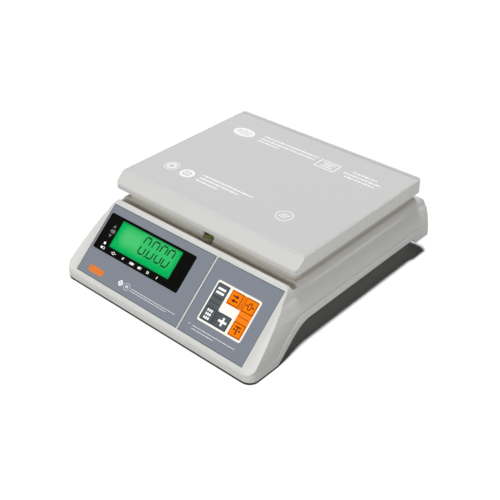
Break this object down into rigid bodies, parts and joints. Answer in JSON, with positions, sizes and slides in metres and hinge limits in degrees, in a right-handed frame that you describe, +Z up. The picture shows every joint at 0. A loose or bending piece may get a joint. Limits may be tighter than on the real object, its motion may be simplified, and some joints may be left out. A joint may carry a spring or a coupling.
{
  "type": "counting scale",
  "caption": "Low electronic counting scale with a sloping display and keypad panel and a lift-off flat pan carried on a load cell, standing on levelling feet.",
  "frame": {"origin": "on the table under the middle of the scale's outer box", "axes": "+X to the user's right, +Y from the front panel to the back, +Z up"},
  "size_m": [0.3, 0.33, 0.108],
  "materials": {
    "case": "fine moulded texture",
    "pan": "satin painted",
    "film": "thin film",
    "overlay": "printed polyester",
    "bezel": "gloss black",
    "lens": "clear",
    "lcd": "backlit green",
    "backlight": "diffuser",
    "black": "moulded black",
    "board": "circuit board",
    "key_dark": "printed",
    "key_orange": "printed",
    "cell": "machined",
    "cast": "cast",
    "zinc": "zinc plated",
    "bolt": "black oxide",
    "rubber": "matte",
    "foam": "foam",
    "chip": "moulded",
    "socket": "nylon",
    "battery": "moulded",
    "rocker": "gloss",
    "fluid": "tinted",
    "brass": "turned",
    "cable": "pvc",
    "lead": "pvc",
    "ribbon": "pvc"
  },
  "bodies": {
    "chassis": {"base_shell": "case", "top_shell": "case", "display_overlay": "overlay", "keypad_overlay": "overlay", "window_bezel": "bezel", "window_lens": "lens", "lcd_glass": "lcd", "lcd_backlight": "backlight", "lcd_frame": "black", "display_board": "board", "key_board": "board", "key_switches": "black", "load_cell": "cell", "cell_spacer_lower": "cell", "cell_bolts_lower": "bolt", "base_frame": "zinc", "floor_screws": "zinc", "overload_stops": "zinc", "battery": "battery", "battery_pads": "foam", "main_board": "board", "board_chips": "chip", "board_sockets": "socket", "buzzer": "black", "interface_board": "board", "power_jack": "black", "serial_port": "zinc", "usb_port": "zinc", "power_switch_housing": "black", "level_cup": "case", "level_vial": "fluid", "foot_inserts": "brass", "casing_screws": "zinc", "cell_cable": "cable", "panel_ribbons": "ribbon", "power_leads": "lead"},
    "platform": {"cell_spacer_upper": "cell", "cell_bolts_upper": "bolt", "spider": "cast", "pan_tray": "case", "tray_screws": "zinc", "pan_cushions": "rubber"},
    "pan_body": {"pan": "pan", "pan_film": "film"},
    "battery_door_body": {"battery_door": "case"},
    "rocker_body": {"power_rocker": "rocker"},
    "key_total_body": {"key_total": "key_dark"},
    "key_units_body": {"key_units": "key_orange"},
    "key_zero_body": {"key_zero": "key_orange"},
    "key_sample_body": {"key_sample": "key_dark"},
    "key_sum_body": {"key_sum": "key_dark"},
    "key_tare_body": {"key_tare": "key_orange"},
    "foot_1_stud_body": {"foot_stud_1": "zinc"},
    "foot_1_pad_body": {"foot_pad_1": "rubber"},
    "foot_2_stud_body": {"foot_stud_2": "zinc"},
    "foot_2_pad_body": {"foot_pad_2": "rubber"},
    "foot_3_stud_body": {"foot_stud_3": "zinc"},
    "foot_3_pad_body": {"foot_pad_3": "rubber"},
    "foot_4_stud_body": {"foot_stud_4": "zinc"},
    "foot_4_pad_body": {"foot_pad_4": "rubber"}
  },
  "joints": [
    {"name": "weigh_travel", "type": "slide", "parent": "chassis", "child": "platform", "axis": [0, 0, 1], "range_m": [-0.0006, 0], "stiffness_N_per_m": 60000, "springref_m": 0.0004, "deforming": ["load_cell"]},
    {"name": "pan_lift", "type": "slide", "parent": "platform", "child": "pan_body", "axis": [0, 0, 1], "range_m": [0, 0.06]},
    {"name": "key_total_press", "type": "slide", "parent": "chassis", "child": "key_total_body", "axis": [0, 0.6574, -0.7536], "range_m": [0, 0.0006], "stiffness_N_per_m": 4000, "springref_m": -0.0001},
    {"name": "key_units_press", "type": "slide", "parent": "chassis", "child": "key_units_body", "axis": [0, 0.6574, -0.7536], "range_m": [0, 0.0006], "stiffness_N_per_m": 4000, "springref_m": -0.0001},
    {"name": "key_zero_press", "type": "slide", "parent": "chassis", "child": "key_zero_body", "axis": [0, 0.6574, -0.7536], "range_m": [0, 0.0006], "stiffness_N_per_m": 4000, "springref_m": -0.0001},
    {"name": "key_sample_press", "type": "slide", "parent": "chassis", "child": "key_sample_body", "axis": [0, 0.6574, -0.7536], "range_m": [0, 0.0006], "stiffness_N_per_m": 4000, "springref_m": -0.0001},
    {"name": "key_sum_press", "type": "slide", "parent": "chassis", "child": "key_sum_body", "axis": [0, 0.6574, -0.7536], "range_m": [0, 0.0006], "stiffness_N_per_m": 4000, "springref_m": -0.0001},
    {"name": "key_tare_press", "type": "slide", "parent": "chassis", "child": "key_tare_body", "axis": [0, 0.6574, -0.7536], "range_m": [0, 0.0006], "stiffness_N_per_m": 4000, "springref_m": -0.0001},
    {"name": "power_rocker_tilt", "type": "hinge", "parent": "chassis", "child": "rocker_body", "pos_m": [0.082, 0.1585, 0.024], "axis": [0, 0, -1], "range_deg": [0, 18]},
    {"name": "battery_door_slide", "type": "slide", "parent": "chassis", "child": "battery_door_body", "axis": [0, -1, 0], "range_m": [0, 0.06]},
    {"name": "foot_1_height", "type": "slide", "parent": "chassis", "child": "foot_1_stud_body", "axis": [0, 0, -1], "range_m": [0, 0.005]},
    {"name": "foot_1_turn", "type": "hinge", "parent": "foot_1_stud_body", "child": "foot_1_pad_body", "pos_m": [-0.102, -0.13, 0.003], "axis": [0, 0, 1], "range_deg": [0, 1440]},
    {"name": "foot_2_height", "type": "slide", "parent": "chassis", "child": "foot_2_stud_body", "axis": [0, 0, -1], "range_m": [0, 0.005]},
    {"name": "foot_2_turn", "type": "hinge", "parent": "foot_2_stud_body", "child": "foot_2_pad_body", "pos_m": [0.102, -0.13, 0.003], "axis": [0, 0, 1], "range_deg": [0, 1440]},
    {"name": "foot_3_height", "type": "slide", "parent": "chassis", "child": "foot_3_stud_body", "axis": [0, 0, -1], "range_m": [0, 0.005]},
    {"name": "foot_3_turn", "type": "hinge", "parent": "foot_3_stud_body", "child": "foot_3_pad_body", "pos_m": [-0.102, 0.123, 0.003], "axis": [0, 0, 1], "range_deg": [0, 1440]},
    {"name": "foot_4_height", "type": "slide", "parent": "chassis", "child": "foot_4_stud_body", "axis": [0, 0, -1], "range_m": [0, 0.005]},
    {"name": "foot_4_turn", "type": "hinge", "parent": "foot_4_stud_body", "child": "foot_4_pad_body", "pos_m": [0.102, 0.123, 0.003], "axis": [0, 0, 1], "range_deg": [0, 1440]}
  ],
  "couplings": [
    {"joint": "foot_1_turn", "follows": "foot_1_height", "rad_per_m": 5026.5},
    {"joint": "foot_2_turn", "follows": "foot_2_height", "rad_per_m": 5026.5},
    {"joint": "foot_3_turn", "follows": "foot_3_height", "rad_per_m": 5026.5},
    {"joint": "foot_4_turn", "follows": "foot_4_height", "rad_per_m": 5026.5}
  ]
}
